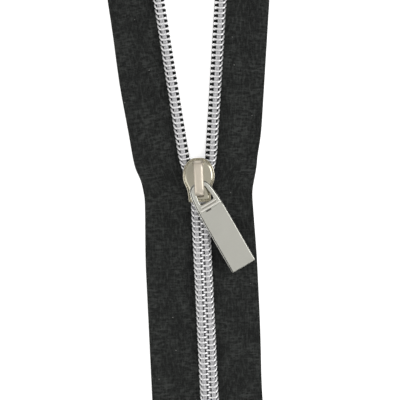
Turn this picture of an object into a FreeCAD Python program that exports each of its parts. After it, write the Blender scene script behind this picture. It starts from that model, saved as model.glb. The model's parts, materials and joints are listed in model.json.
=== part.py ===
"""A coil zipper, part open: two woven tapes, two wire coils, a slider, its crown, its pull, and the stops.

Millimetres. +Y runs along the chain towards the open end, +X across it, +Z up from the surface it lies on.
Lengths along the chain are measured from the slider's mouth: positive towards the open end.
"""
import FreeCAD, Part
import math
import os
import Sketcher

Vector = FreeCAD.Vector

SIZES = [
    # the tapes
    ("length_below_mouth", 105.0, "from the slider's mouth to the closed end"),
    ("length_above_mouth", 75.0, "from the slider's mouth to the open end, along a strip"),
    ("zipper_width", 31.5, "across both tapes with the chain closed"),
    ("tape_gap", 0.2, "between the two tapes under the closed chain"),
    ("tape_thick", 0.55, "thickness of the woven tape"),
    ("plate_gap", 0.15, "between the slider's bottom plate and the tape"),
    ("sewing_border", 5.5, "the flat outer part of a tape that lies on the surface"),
    ("raised_past", 0.5, "how far the raised part of a tape reaches past the slider"),
    ("run_gap", 0.1, "between one run of the chain and the next"),
    # the coils
    ("pitch", 1.5, "from one turn of a coil to the next"),
    ("wire_dia", 0.6, "thickness of the coil's filament"),
    ("coil_height", 2.3, "height of a coil"),
    ("coil_seat", 0.04, "between a tape and the coil sewn on it"),
    ("head_reach", 0.55, "how far a coil's heads pass the middle of the chain"),
    ("heel_reach", 2.7, "from the middle of the chain to a coil's heels"),
    ("cord_dia", 0.9, "thickness of the cord inside a coil"),
    ("cord_place", 1.28, "from the middle of the chain to the cord"),
    ("thread_dia", 0.18, "thickness of the sewing thread"),
    ("thread_place", 1.45, "from the middle of the chain to the sewing thread"),
    # how the strips open
    ("open_angle", 6.3, "each strip's angle to the closed chain, in degrees"),
    ("pivot_drop", 24.0, "from the mouth down to where the strips' lines meet"),
    ("travel", 72.0, "how far the slider runs down to the bottom stop"),
    # the slider
    ("slider_length", 12.6, "from the mouth to the slider's rear"),
    ("slider_width", 9.0, "across the slider at its widest"),
    ("widest_back", 5.6, "from the mouth to the widest place"),
    ("mouth_width", 3.2, "straight front edge of the slider"),
    ("wedge_tip", 0.2, "thickness of the tip of the wedge between the plates"),
    ("front_radius", 5.3, "radius of the slider's rounded shoulders"),
    ("flange_wall", 0.4, "thickness of a flange at the slider's rear"),
    ("flange_back", 5.2, "from the mouth to the front of the flanges"),
    ("channel_clear", 0.2, "between a coil and the slider around it"),
    ("bottom_plate", 0.9, "thickness of the slider's bottom plate"),
    ("top_plate", 0.9, "thickness of the slider's top plate"),
    ("plate_round", 0.35, "rounding of the top plate's edge"),
    # the crown over the pull's bar, and the lock spring in it
    ("crown_width", 2.5, "width of the crown"),
    ("crown_front", 0.9, "from the mouth to the crown's front foot"),
    ("crown_rear", 11.1, "from the mouth to the crown's rear foot"),
    ("crown_slope", 1.7, "how far the crown's roof is set in from its feet"),
    ("crown_roof", 0.5, "thickness of the crown's roof"),
    ("crown_wall", 0.3, "thickness of the crown's front wall beside the lock spring"),
    ("crown_round", 0.42, "rounding of the crown's long upper edges"),
    ("window_front", 4.3, "from the mouth to the front of the crown's window"),
    ("window_rear", 9.35, "from the mouth to the rear of the crown's window"),
    ("spring_wide", 1.1, "width of the lock spring"),
    ("spring_thick", 0.25, "thickness of the lock spring"),
    ("spring_play", 0.3, "room for the lock spring to lift"),
    ("spring_clear", 0.15, "between the lock spring and what holds it"),
    ("prong_reach", 0.1, "how far the lock spring's prong stands out under the top plate"),
    # the pull
    ("bar_dia", 1.4, "thickness of the pull's crossbar and side rails"),
    ("bar_back", 7.75, "from the mouth to the crossbar"),
    ("bar_play", 0.4, "between the crossbar and the top plate"),
    ("pull_reach", 25.8, "from the crossbar to the pull's tip"),
    ("pull_width", 7.1, "width of the pull's tab"),
    ("pull_neck", 6.0, "width of the pull across its crossbar"),
    ("pull_taper", 6.2, "from the crossbar to where the tab is full width"),
    ("hole_reach", 5.3, "from the crossbar to the end of the pull's hole"),
    ("hole_width", 4.9, "width of the pull's hole at its far end"),
    ("hole_neck", 4.2, "width of the pull's hole beside the crossbar"),
    ("tab_rise", 0.2, "how far the tab stands above its side rails"),
    ("neck_round", 1.1, "rounding of the pull's corners by the crossbar"),
    ("pull_sway", 27.0, "the pull's angle to the chain, seen from above"),
    ("pull_slope", 4.0, "how far the pull slopes down from its crossbar"),
    ("pull_roll", 2.5, "how far the pull leans over its right edge"),
    ("pull_offset", 0.3, "how far the pull has slid along its crossbar"),
    # the stops
    ("top_stop_up", 60.0, "from the mouth to the top stops"),
    ("bottom_stop_down", 0.3, "from the top of the closed run to the bottom stop"),
    ("stop_length", 4.2, "length of each stop along the chain"),
    ("stop_wall", 0.4, "thickness of a stop's wall"),
    ("stop_clear", 0.1, "between a stop and the coil in it"),
]

PLACES = [
    ("mouth", "(sizes.length_below_mouth - strip_top) / 2", "the mouth, with the origin halfway along"),
    ("strip_top", "(sizes.length_above_mouth + sizes.pivot_drop) * cos(sizes.open_angle)"
     " - sizes.pivot_drop - sizes.tape_gap / 2 * sin(sizes.open_angle)", "highest corner of a strip"),
    ("tape_low", "sizes.bottom_plate + sizes.plate_gap", "underside of the raised part of a tape"),
    ("tape_top", "tape_low + sizes.tape_thick", "top of the raised part of a tape"),
    ("coil_low", "tape_top + sizes.coil_seat", "underside of a coil"),
    ("coil_top", "coil_low + sizes.coil_height", "top of a coil"),
    ("coil_mid", "coil_low + sizes.coil_height / 2", "middle height of a coil"),
    ("thread_mid", "coil_top + sizes.coil_seat + sizes.thread_dia / 2", "height of the sewing thread"),
    ("roof_low", "thread_mid + sizes.thread_dia / 2 + sizes.channel_clear", "underside of the top plate"),
    ("roof_top", "roof_low + sizes.top_plate", "top of the top plate"),
    ("tape_edge", "sizes.zipper_width / 2", "outer edge of a tape"),
    ("border_edge", "tape_edge - sizes.sewing_border", "inner edge of the flat border"),
    ("raised_edge", "sizes.slider_width / 2 + sizes.raised_past", "outer edge of the raised part"),
    ("closed_end", "-sizes.length_below_mouth", "lower end of the tapes"),
    ("rear", "-sizes.slider_length", "the slider's rear edge"),
    ("throat_start", "-(floor(sizes.slider_length / sizes.pitch) + 1 / 4) * sizes.pitch",
     "where the two coils begin to part, between two turns near the slider's rear"),
    ("throat_end", "sizes.pitch / 4", "where the open strips begin, between two turns at the mouth"),
    ("low_split", "throat_start - sizes.travel", "top of the run that stays closed"),
    ("flange_in", "sizes.heel_reach + sizes.channel_clear", "inside of a flange at the rear"),
    ("rear_half", "flange_in + sizes.flange_wall", "half the slider's width at its rear"),
    ("bar_mid", "roof_top + sizes.bar_play + sizes.bar_dia / 2", "height of the crossbar"),
    ("window_top", "bar_mid + sizes.bar_dia / 2 + sizes.spring_clear", "underside of the lock spring"),
    ("crown_inside", "window_top + sizes.spring_thick + sizes.spring_play", "underside of the crown's roof"),
    ("crown_top", "crown_inside + sizes.crown_roof", "top of the crown"),
    ("crown_front_foot", "mouth - sizes.crown_front", "front of the crown on the top plate"),
    ("crown_rear_foot", "mouth - sizes.crown_rear", "rear of the crown on the top plate"),
    ("roof_front", "crown_front_foot - sizes.crown_slope", "front of the crown's roof"),
    ("window_near", "mouth - sizes.window_front", "front of the crown's window"),
    ("window_far", "mouth - sizes.window_rear", "rear of the window and front of the prong's slot"),
    ("slot_rear", "window_far - sizes.spring_thick - 2 * sizes.spring_clear", "rear of the prong's slot"),
    ("slot_half", "sizes.spring_wide / 2 + sizes.spring_clear", "half the width of the room for the spring"),
]

SIDES = {"left": -1, "right": 1}
THROAT_STATIONS = 7
WALL_STEPS = 6
WEDGE_STEPS = 8
SEARCH_STEPS = 40
TOUCHING = 1e-6

doc = FreeCAD.newDocument("coil_zipper")


def make_sheets():
    """The driving sizes as plain numbers, and the places worked out from them."""
    sizes = doc.addObject("Spreadsheet::Sheet", "sizes")
    for row, (alias, number, meaning) in enumerate(SIZES, start=1):
        sizes.set(f"A{row}", str(number))
        sizes.setAlias(f"A{row}", alias)
        sizes.set(f"B{row}", meaning)
    places = doc.addObject("Spreadsheet::Sheet", "places")
    for row, (alias, formula, meaning) in enumerate(PLACES, start=1):
        places.setAlias(f"A{row}", alias)
    for row, (alias, formula, meaning) in enumerate(PLACES, start=1):
        places.set(f"A{row}", "=" + formula)
        places.set(f"B{row}", meaning)
    doc.recompute()
    return sizes, places


sizes, places = make_sheets()


def number(expression):
    """The value of an expression on the two sheets."""
    return float(sizes.evalExpression(str(expression)))


def size(alias):
    return number(f"sizes.{alias}")


def place(alias):
    return number(f"places.{alias}")


MOUTH = place("mouth")
PIVOT = Vector(0, MOUTH - size("pivot_drop"), 0)


# ---------------------------------------------------------------- sketches and features

def new_body(label):
    body = doc.addObject("PartDesign::Body", label)
    body.Label = label
    return body


def origin_plane(body, role):
    return next(item for item in body.Origin.OriginFeatures if item.Role == role)


def outline(body, name, plane, corners, offset="0", arcs=None):
    """A closed outline through corners given as expressions; arcs gives a rounded side's radius."""
    sketch = body.newObject("Sketcher::SketchObject", name)
    sketch.AttachmentSupport = (origin_plane(body, plane), [""])
    sketch.MapMode = "FlatFace"
    sketch.setExpression(".AttachmentOffset.Base.z", offset)
    arcs = arcs or {}
    points = [Vector(number(across), number(along), 0) for across, along in corners]
    for side, start in enumerate(points):
        end = points[(side + 1) % len(points)]
        if side in arcs:
            sketch.addGeometry(arc_between(start, end, number(arcs[side])))
        else:
            sketch.addGeometry(Part.LineSegment(start, end))
    for side in range(len(points)):
        following = (side + 1) % len(points)
        this_end = end_at(sketch, side, points[following])
        next_end = end_at(sketch, following, points[following])
        sketch.addConstraint(Sketcher.Constraint("Coincident", side, this_end, following, next_end))
    for side, (across, along) in enumerate(corners):
        end = end_at(sketch, side, points[side])
        bind(sketch, "DistanceX", side, end, across)
        bind(sketch, "DistanceY", side, end, along)
    for side, radius in arcs.items():
        index = sketch.addConstraint(Sketcher.Constraint("Radius", side, number(radius)))
        sketch.setExpression(f"Constraints[{index}]", radius)
    return sketch


def arc_between(start, end, radius):
    """An arc that bulges to the right of the way from start to end."""
    middle = (start + end) / 2
    half = start.distanceToPoint(end) / 2
    right = Vector(end.y - start.y, start.x - end.x, 0).normalize()
    bulge = abs(radius) - math.sqrt(max(radius * radius - half * half, 0))
    return Part.Arc(start, middle + right * bulge, end)


def end_at(sketch, side, point):
    """Which end of a side lies at a point: 1 for its start, 2 for its end."""
    geometry = sketch.Geometry[side]
    return 1 if geometry.StartPoint.distanceToPoint(point) < TOUCHING else 2


def bind(sketch, kind, side, end, expression):
    """Ties one coordinate of a corner to its expression, or to the axis where it is nought."""
    value = number(expression)
    if abs(value) < TOUCHING:
        axis = -2 if kind == "DistanceX" else -1
        sketch.addConstraint(Sketcher.Constraint("PointOnObject", side, end, axis))
        return
    index = sketch.addConstraint(Sketcher.Constraint(kind, -1, 1, side, end, value))
    sketch.setExpression(f"Constraints[{index}]", expression)


def pad(body, sketch, name, length, midplane=False, reverse=False):
    feature = body.newObject("PartDesign::Pad", name)
    feature.Profile = sketch
    feature.setExpression("Length", length)
    feature.SideType = "Symmetric" if midplane else "One side"
    feature.Reversed = reverse
    body.Tip = feature
    return feature


def pocket(body, sketch, name, length, midplane=False, reverse=False):
    feature = body.newObject("PartDesign::Pocket", name)
    feature.Profile = sketch
    feature.setExpression("Length", length)
    feature.SideType = "Symmetric" if midplane else "One side"
    feature.Reversed = reverse
    body.Tip = feature
    return feature


def round_edges(body, name, radius, wanted):
    """Rounds the edges of the body so far for which wanted(edge) is true."""
    doc.recompute()
    base = body.Tip
    picked = [f"Edge{index}" for index, edge in enumerate(base.Shape.Edges, start=1) if wanted(edge)]
    feature = body.newObject("PartDesign::Fillet", name)
    feature.Base = (base, picked)
    feature.setExpression("Radius", radius)
    body.Tip = feature
    return feature


def plain_shape(label, shape, placement=None):
    """A piece whose shape is worked out here; its placement comes after its shape."""
    feature = doc.addObject("Part::Feature", label)
    feature.Label = label
    feature.Shape = shape
    feature.Placement = placement or FreeCAD.Placement()
    return feature


# ---------------------------------------------------------------- the path of a strip

def turned(degrees):
    """A turn about the upright line where the two strips' lines meet."""
    return FreeCAD.Placement(Vector(), FreeCAD.Rotation(Vector(0, 0, 1), degrees), PIVOT)


def opening(along, side):
    """The turn of a strip at a place along it: none at the slider's rear, all of it from its mouth up."""
    share = (along - place("throat_start")) / -place("throat_start")
    share = min(max(share, 0.0), 1.0)
    smooth = share * share * (3 - 2 * share)
    return turned(-side * size("open_angle") * smooth)


def parting(along):
    """How far a strip has moved sideways at a place along it."""
    return abs(opening(along, 1).multVec(Vector(0, MOUTH + along, 0)).x)


RUNS = {
    "lower": ("places.closed_end", "places.low_split - sizes.run_gap / 2", False),
    "middle": ("places.low_split + sizes.run_gap / 2", "places.throat_start - sizes.run_gap / 2", False),
    "upper": ("places.throat_end + sizes.run_gap / 2", "sizes.length_above_mouth", True),
}
THROAT = ("places.throat_start + sizes.run_gap / 2", "places.throat_end - sizes.run_gap / 2")


def run_placement(opened, side):
    """Where a straight run lies: along the closed chain, or turned with its open strip."""
    return turned(-side * size("open_angle")) if opened else FreeCAD.Placement()


# ---------------------------------------------------------------- tapes, cords and threads

TAPE_SECTION = [
    ("sizes.tape_gap / 2", "places.tape_low"),
    ("places.raised_edge", "places.tape_low"),
    ("places.border_edge", "0"),
    ("places.tape_edge", "0"),
    ("places.tape_edge", "sizes.tape_thick"),
    ("places.border_edge", "sizes.tape_thick"),
    ("places.raised_edge", "places.tape_top"),
    ("sizes.tape_gap / 2", "places.tape_top"),
]


def straight_tape(name, side, run):
    """A run of tape: raised beside the chain, sloping down to a border that lies flat."""
    start, end, opened = RUNS[run]
    body = new_body(f"{name}_tape_{run}")
    corners = [(f"{side} * ({across})", height) for across, height in TAPE_SECTION]
    section = outline(body, f"{body.Name}_section", "XZ_Plane", corners,
                      f"-(places.mouth + {start})")
    pad(body, section, f"{body.Name}_run", f"{end} - ({start})", reverse=True)
    body.Placement = run_placement(opened, side)


def along_throat(make_wire, side):
    """A solid through copies of a closed wire, set along the bending strip in the slider."""
    start, end = (number(text) for text in THROAT)
    wires = []
    for station in range(THROAT_STATIONS):
        along = start + (end - start) * station / (THROAT_STATIONS - 1)
        wire = make_wire(MOUTH + along)
        wire.Placement = opening(along, side).multiply(wire.Placement)
        wires.append(wire)
    return Part.makeLoft(wires, True, True)


def throat_tape(name, side):
    def section(level):
        corners = [Vector(side * number(across), level, number(height)) for across, height in TAPE_SECTION]
        return Part.makePolygon(corners + corners[:1])
    plain_shape(f"{name}_tape_throat", along_throat(section, side))


def round_strand(label, side, run, across, height, diameter):
    """A straight round strand along a run."""
    start, end, opened = RUNS[run]
    strand = doc.addObject("Part::Cylinder", label)
    strand.Label = label
    strand.setExpression("Radius", f"{diameter} / 2")
    strand.setExpression("Height", f"{end} - ({start})")
    foot = Vector(side * number(across), MOUTH + number(start), number(height))
    lying = FreeCAD.Placement(foot, FreeCAD.Rotation(Vector(1, 0, 0), -90))
    strand.Placement = run_placement(opened, side).multiply(lying)


def throat_strand(label, side, across, height, diameter):
    """A round strand that follows the bend inside the slider."""
    def section(level):
        centre = Vector(side * number(across), level, number(height))
        return Part.Wire([Part.makeCircle(number(diameter) / 2, centre, Vector(0, 1, 0))])
    plain_shape(label, along_throat(section, side))


CORD = ("sizes.cord_place", "places.coil_mid", "sizes.cord_dia")
THREAD = ("sizes.thread_place", "places.thread_mid", "sizes.thread_dia")


# ---------------------------------------------------------------- coils

def coil_turn_sizes():
    """The centre line of a coil: its wire radius, bend radii and the places where its bends start."""
    wire = size("wire_dia") / 2
    head_bend = size("coil_height") / 2 - wire
    heel_bend = math.hypot(2 * head_bend, size("pitch")) / 2
    head_start = -(size("head_reach") - wire - head_bend)
    heel_start = size("heel_reach") - wire - heel_bend
    return wire, head_bend, heel_bend, head_start, heel_start


def coil_run(label, side, first, turns, placement):
    """One unbroken filament: a top leg, a head, a bottom leg and a slanting heel for each turn."""
    wire, head_bend, heel_bend, head_start, heel_start = coil_turn_sizes()
    middle = place("coil_mid")
    top = middle + head_bend
    low = middle - head_bend
    step = size("pitch")
    edges = []
    for turn in range(turns):
        level = MOUTH + first + turn * step
        heel_high = Vector(side * heel_start, level, top)
        head_high = Vector(side * head_start, level, top)
        head_tip = Vector(side * (head_start - head_bend), level, middle)
        head_low = Vector(side * head_start, level, low)
        heel_low = Vector(side * heel_start, level, low)
        edges.append(Part.LineSegment(heel_high, head_high).toShape())
        edges.append(Part.Arc(head_high, head_tip, head_low).toShape())
        edges.append(Part.LineSegment(head_low, heel_low).toShape())
        if turn < turns - 1:
            heel_tip = Vector(side * (heel_start + heel_bend), level + step / 2, middle)
            next_high = Vector(side * heel_start, level + step, top)
            edges.append(Part.Arc(heel_low, heel_tip, next_high).toShape())
    path = Part.Wire(edges)
    section = Part.Wire([Part.makeCircle(wire, edges[0].Vertexes[0].Point, Vector(side, 0, 0))])
    solid = path.makePipeShell([section], True, False)
    plain_shape(label, solid, placement)


def closed_turn(side):
    """One turn as a closed loop of filament, standing across the chain, as wide as the coil."""
    wire, head_bend, heel_bend, head_start, heel_start = coil_turn_sizes()
    heel_start = size("heel_reach") - wire - head_bend
    middle = place("coil_mid")
    top = middle + head_bend
    low = middle - head_bend
    heel_high = Vector(side * heel_start, 0, top)
    heel_tip = Vector(side * (heel_start + head_bend), 0, middle)
    heel_low = Vector(side * heel_start, 0, low)
    head_high = Vector(side * head_start, 0, top)
    head_tip = Vector(side * (head_start - head_bend), 0, middle)
    head_low = Vector(side * head_start, 0, low)
    loop = Part.Wire([
        Part.LineSegment(heel_high, head_high).toShape(),
        Part.Arc(head_high, head_tip, head_low).toShape(),
        Part.LineSegment(head_low, heel_low).toShape(),
        Part.Arc(heel_low, heel_tip, heel_high).toShape(),
    ])
    section = Part.Wire([Part.makeCircle(wire, heel_high, Vector(side, 0, 0))])
    return loop.makePipeShell([section], True, False)


def throat_coil(label, side, first, turns):
    """The turns inside the slider, each a closed loop set square to the bending strip."""
    loops = []
    for turn in range(turns):
        along = first + turn * size("pitch")
        standing = FreeCAD.Placement(Vector(0, MOUTH + along, 0), FreeCAD.Rotation())
        loop = closed_turn(side)
        loop.Placement = opening(along, side).multiply(standing)
        loops.append(loop)
    plain_shape(label, Part.makeCompound(loops))


def turns_in(run, side):
    """The first turn in a run and how many it holds, with the two sides half a pitch apart."""
    step = size("pitch")
    shift = 0.0 if side < 0 else step / 2
    start, end = (number(text) for text in run[:2])
    start = max(start, place("closed_end") + size("wire_dia"))
    end = min(end, size("length_above_mouth") - size("wire_dia"))
    first = math.ceil((start - shift) / step) * step + shift
    return first, int(math.floor((end - first) / step)) + 1


def make_strips():
    for name, side in SIDES.items():
        for run, stretch in RUNS.items():
            straight_tape(name, side, run)
            round_strand(f"{name}_cord_{run}", side, run, *CORD)
            round_strand(f"{name}_thread_{run}", side, run, *THREAD)
            first, turns = turns_in(stretch, side)
            coil_run(f"{name}_coil_{run}", side, first, turns, run_placement(stretch[2], side))
        throat_tape(name, side)
        throat_strand(f"{name}_cord_throat", side, *CORD)
        throat_strand(f"{name}_thread_throat", side, *THREAD)
        first, turns = turns_in(THROAT, side)
        throat_coil(f"{name}_coil_throat", side, first, turns)


# ---------------------------------------------------------------- the slider

PLATE_CORNERS = [
    ("sizes.mouth_width / 2", "places.mouth"),
    ("-sizes.mouth_width / 2", "places.mouth"),
    ("-sizes.slider_width / 2", "places.mouth - sizes.widest_back"),
    ("-places.rear_half", "places.mouth + places.rear"),
    ("places.rear_half", "places.mouth + places.rear"),
    ("sizes.slider_width / 2", "places.mouth - sizes.widest_back"),
]
PLATE_ARCS = {1: "sizes.front_radius", 5: "sizes.front_radius"}


def at_height(edge, height):
    return abs(edge.BoundBox.ZMin - height) < TOUCHING and abs(edge.BoundBox.ZMax - height) < TOUCHING


def channel_wall():
    """Points along the inside of the right flange, a clearance outside the coil's heels."""
    front = -size("flange_back")
    rear = place("rear")
    alongs = [rear + (front - rear) * step / WALL_STEPS for step in range(WALL_STEPS + 1)]
    return [Vector(place("flange_in") + parting(along), MOUTH + along, 0) for along in alongs]


def wedge_sides():
    """Points along the right side of the wedge that parts the coils, from its tip to the mouth."""
    inset = size("head_reach") + size("channel_clear")
    searched = [place("rear") * step / SEARCH_STEPS for step in range(SEARCH_STEPS + 1)]
    tip = min(along for along in searched if parting(along) - inset > size("wedge_tip") / 2)
    alongs = [tip * (1 - step / WEDGE_STEPS) for step in range(WEDGE_STEPS + 1)]
    widest = size("mouth_width") / 2
    return [Vector(min(parting(along) - inset, widest), MOUTH + along, 0) for along in alongs]


def upright_solid(points, low, high):
    """A solid on a closed outline, from one height to another."""
    face = Part.Face(Part.makePolygon(points + points[:1]))
    face.translate(Vector(0, 0, low))
    return face.extrude(Vector(0, 0, high - low))


def mirrored(points):
    return [Vector(-point.x, point.y, point.z) for point in points]


def make_slider():
    """The cast slider: two plates joined by a wedge at the mouth, with a flange down each side."""
    low_body = doc.addObject("PartDesign::Body", "bottom_plate_body")
    low_plate = outline(low_body, "bottom_plate_outline", "XY_Plane", PLATE_CORNERS, "0", PLATE_ARCS)
    pad(low_body, low_plate, "bottom_plate_pad", "sizes.bottom_plate")
    round_edges(low_body, "bottom_plate_round", "sizes.plate_round", lambda edge: at_height(edge, 0))
    top_body = doc.addObject("PartDesign::Body", "top_plate_body")
    top_plate = outline(top_body, "top_plate_outline", "XY_Plane", PLATE_CORNERS, "places.roof_low",
                        PLATE_ARCS)
    pad(top_body, top_plate, "top_plate_pad", "sizes.top_plate")
    plate_top = place("roof_top")
    round_edges(top_body, "top_plate_round", "sizes.plate_round", lambda edge: at_height(edge, plate_top))
    slot = outline(top_body, "lock_slot_outline", "XY_Plane", [
        ("-places.slot_half", "places.window_far"),
        ("places.slot_half", "places.window_far"),
        ("places.slot_half", "places.slot_rear"),
        ("-places.slot_half", "places.slot_rear"),
    ], "places.roof_top")
    pocket(top_body, slot, "lock_slot", "sizes.top_plate")
    doc.recompute()
    in_floor = size("bottom_plate") / 2
    in_roof = place("roof_low") + size("top_plate") / 2
    sides = wedge_sides()
    wedge = upright_solid(sides + mirrored(sides)[::-1], in_floor, in_roof)
    wall = channel_wall()
    outer = [Vector(size("slider_width"), wall[-1].y, 0), Vector(size("slider_width"), wall[0].y, 0)]
    flange_low = place("tape_top") + 2 * size("channel_clear")
    flange = upright_solid(wall + outer, flange_low, in_roof)
    other = upright_solid(mirrored(wall + outer), flange_low, in_roof)
    trim = outline_prism(PLATE_CORNERS, PLATE_ARCS, 0, place("roof_top"))
    inside = wedge.multiFuse([flange, other]).common(trim)
    shape = low_body.Shape.multiFuse([top_body.Shape, inside])
    plain_shape("slider_body", shape.removeSplitter())
    doc.recompute()


def outline_prism(corners, arcs, low, high):
    """The plates' outline as a plain prism."""
    points = [Vector(number(across), number(along), low) for across, along in corners]
    edges = []
    for side, start in enumerate(points):
        end = points[(side + 1) % len(points)]
        if side in arcs:
            edges.append(arc_between(start, end, number(arcs[side])).toShape())
        else:
            edges.append(Part.LineSegment(start, end).toShape())
    return Part.Face(Part.Wire(edges)).extrude(Vector(0, 0, high - low))


# ---------------------------------------------------------------- the crown and the lock spring

def make_crown():
    """The arched cap over the crossbar, hollow for the lock spring, with a window through its sides."""
    body = new_body("crown")
    arch = outline(body, "crown_side", "YZ_Plane", [
        ("places.crown_front_foot", "places.roof_top"),
        ("places.roof_front", "places.crown_top"),
        ("places.crown_rear_foot + sizes.crown_slope / 2", "places.crown_top"),
        ("places.crown_rear_foot", "places.roof_top"),
    ])
    pad(body, arch, "crown_block", "sizes.crown_width", midplane=True)
    window = outline(body, "crown_window", "YZ_Plane", [
        ("places.window_near", "places.roof_top"),
        ("places.window_near", "places.window_top"),
        ("places.window_far", "places.window_top"),
        ("places.window_far", "places.roof_top"),
    ])
    pocket(body, window, "crown_window_cut", "sizes.crown_width * 2", midplane=True)
    hollow = outline(body, "crown_hollow", "YZ_Plane", [
        ("places.window_near", "places.roof_top"),
        ("places.window_near", "places.window_top - sizes.spring_clear"),
        ("places.roof_front - sizes.crown_wall", "places.window_top - sizes.spring_clear"),
        ("places.roof_front - sizes.crown_wall", "places.crown_inside"),
        ("places.slot_rear", "places.crown_inside"),
        ("places.slot_rear", "places.roof_top"),
    ])
    pocket(body, hollow, "crown_hollow_cut", "2 * places.slot_half", midplane=True)
    top = place("crown_top")
    round_edges(body, "crown_edges", "sizes.crown_round", lambda edge: at_height(edge, top)
                and edge.BoundBox.YLength > edge.BoundBox.XLength)


def make_lock_spring():
    """The leaf that lies over the crossbar, with a prong down through the top plate."""
    body = new_body("lock_spring")
    leaf = outline(body, "lock_spring_side", "YZ_Plane", [
        ("places.roof_front - sizes.crown_wall - 2 * sizes.spring_clear", "places.window_top"),
        ("places.roof_front - sizes.crown_wall - 2 * sizes.spring_clear",
         "places.window_top + sizes.spring_thick"),
        ("places.slot_rear + sizes.spring_clear", "places.window_top + sizes.spring_thick"),
        ("places.slot_rear + sizes.spring_clear", "places.roof_low - sizes.prong_reach"),
        ("places.window_far - sizes.spring_clear", "places.roof_low - sizes.prong_reach"),
        ("places.window_far - sizes.spring_clear", "places.window_top"),
    ])
    pad(body, leaf, "lock_spring_leaf", "sizes.spring_wide", midplane=True)


# ---------------------------------------------------------------- the pull

def pull_placement():
    """The pull hangs from the middle of its crossbar, swayed, sloping down and leaning a little."""
    sway = FreeCAD.Rotation(Vector(0, 0, 1), size("pull_sway"))
    slope = FreeCAD.Rotation(Vector(1, 0, 0), size("pull_slope"))
    roll = FreeCAD.Rotation(Vector(0, 1, 0), size("pull_roll"))
    turn = sway.multiply(slope).multiply(roll)
    middle = Vector(0, MOUTH - size("bar_back"), place("bar_mid"))
    return FreeCAD.Placement(middle - turn.multVec(Vector(size("pull_offset"), 0, 0)), turn)


def make_pull():
    """One casting: a crossbar, two side rails around a hole, and a flat tab, drawn from its crossbar."""
    body = new_body("pull")
    loop = outline(body, "pull_outline", "XY_Plane", [
        ("-sizes.pull_neck / 2", "0"),
        ("-sizes.pull_width / 2", "-sizes.pull_taper"),
        ("-sizes.pull_width / 2", "-sizes.pull_reach"),
        ("sizes.pull_width / 2", "-sizes.pull_reach"),
        ("sizes.pull_width / 2", "-sizes.pull_taper"),
        ("sizes.pull_neck / 2", "0"),
    ], "-sizes.bar_dia / 2")
    pad(body, loop, "pull_slab", "sizes.bar_dia")
    tab = outline(body, "pull_tab_outline", "XY_Plane", [
        ("-sizes.pull_width / 2", "-sizes.pull_taper"),
        ("-sizes.pull_width / 2", "-sizes.pull_reach"),
        ("sizes.pull_width / 2", "-sizes.pull_reach"),
        ("sizes.pull_width / 2", "-sizes.pull_taper"),
    ], "0")
    pad(body, tab, "pull_tab", "sizes.bar_dia / 2 + sizes.tab_rise")
    hole = outline(body, "pull_hole_outline", "XY_Plane", [
        ("-sizes.hole_neck / 2", "sizes.bar_dia"),
        ("-sizes.hole_neck / 2", "-sizes.bar_dia / 2"),
        ("-sizes.hole_width / 2", "-sizes.hole_reach"),
        ("sizes.hole_width / 2", "-sizes.hole_reach"),
        ("sizes.hole_neck / 2", "-sizes.bar_dia / 2"),
        ("sizes.hole_neck / 2", "sizes.bar_dia"),
    ], "sizes.bar_dia")
    pocket(body, hole, "pull_hole", "sizes.bar_dia * 2")
    bar = body.newObject("Sketcher::SketchObject", "pull_bar_round")
    bar.AttachmentSupport = (origin_plane(body, "YZ_Plane"), [""])
    bar.MapMode = "FlatFace"
    bar.addGeometry(Part.Circle(Vector(), Vector(0, 0, 1), size("bar_dia") / 2))
    bar.addConstraint(Sketcher.Constraint("Coincident", 0, 3, -1, 1))
    index = bar.addConstraint(Sketcher.Constraint("Diameter", 0, size("bar_dia")))
    bar.setExpression(f"Constraints[{index}]", "sizes.bar_dia")
    pad(body, bar, "pull_bar", "sizes.pull_neck", midplane=True)
    body.Placement = pull_placement()


# ---------------------------------------------------------------- the stops

def stop_section(inner, outer):
    """A saddle over the coil between two places across the chain, open towards the tape."""
    wall = "sizes.stop_wall"
    inside_top = "places.thread_mid + sizes.thread_dia / 2 + sizes.stop_clear / 2"
    return [
        (f"({inner}) - sizes.stop_clear - {wall}", "places.coil_low"),
        (f"({inner}) - sizes.stop_clear", "places.coil_low"),
        (f"({inner}) - sizes.stop_clear", inside_top),
        (f"({outer}) + sizes.stop_clear", inside_top),
        (f"({outer}) + sizes.stop_clear", "places.coil_low"),
        (f"({outer}) + sizes.stop_clear + {wall}", "places.coil_low"),
        (f"({outer}) + sizes.stop_clear + {wall}", f"{inside_top} + {wall}"),
        (f"({inner}) - sizes.stop_clear - {wall}", f"{inside_top} + {wall}"),
    ]


def make_stops():
    """A small metal saddle at the top of each strip, and a wide one across the closed chain."""
    for name, side in SIDES.items():
        body = new_body(f"{name}_top_stop")
        corners = stop_section("-sizes.head_reach", "sizes.heel_reach")
        corners = [(f"{side} * ({across})", height) for across, height in corners]
        section = outline(body, f"{body.Name}_section", "XZ_Plane", corners,
                          "-(places.mouth + sizes.top_stop_up)")
        pad(body, section, f"{body.Name}_saddle", "sizes.stop_length", reverse=True)
        body.Placement = run_placement(True, side)
    body = new_body("bottom_stop")
    corners = stop_section("-sizes.heel_reach", "sizes.heel_reach")
    section = outline(body, "bottom_stop_section", "XZ_Plane", corners,
                      "-(places.mouth + places.low_split - sizes.bottom_stop_down)")
    pad(body, section, "bottom_stop_saddle", "sizes.stop_length")


# ---------------------------------------------------------------- check and write

HELPERS = ("bottom_plate_body", "top_plate_body")


def sub_parts():
    kinds = ("PartDesign::Body", "Part::Feature", "Part::Cylinder")
    return [item for item in doc.Objects if item.TypeId in kinds and item.Name not in HELPERS]


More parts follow.
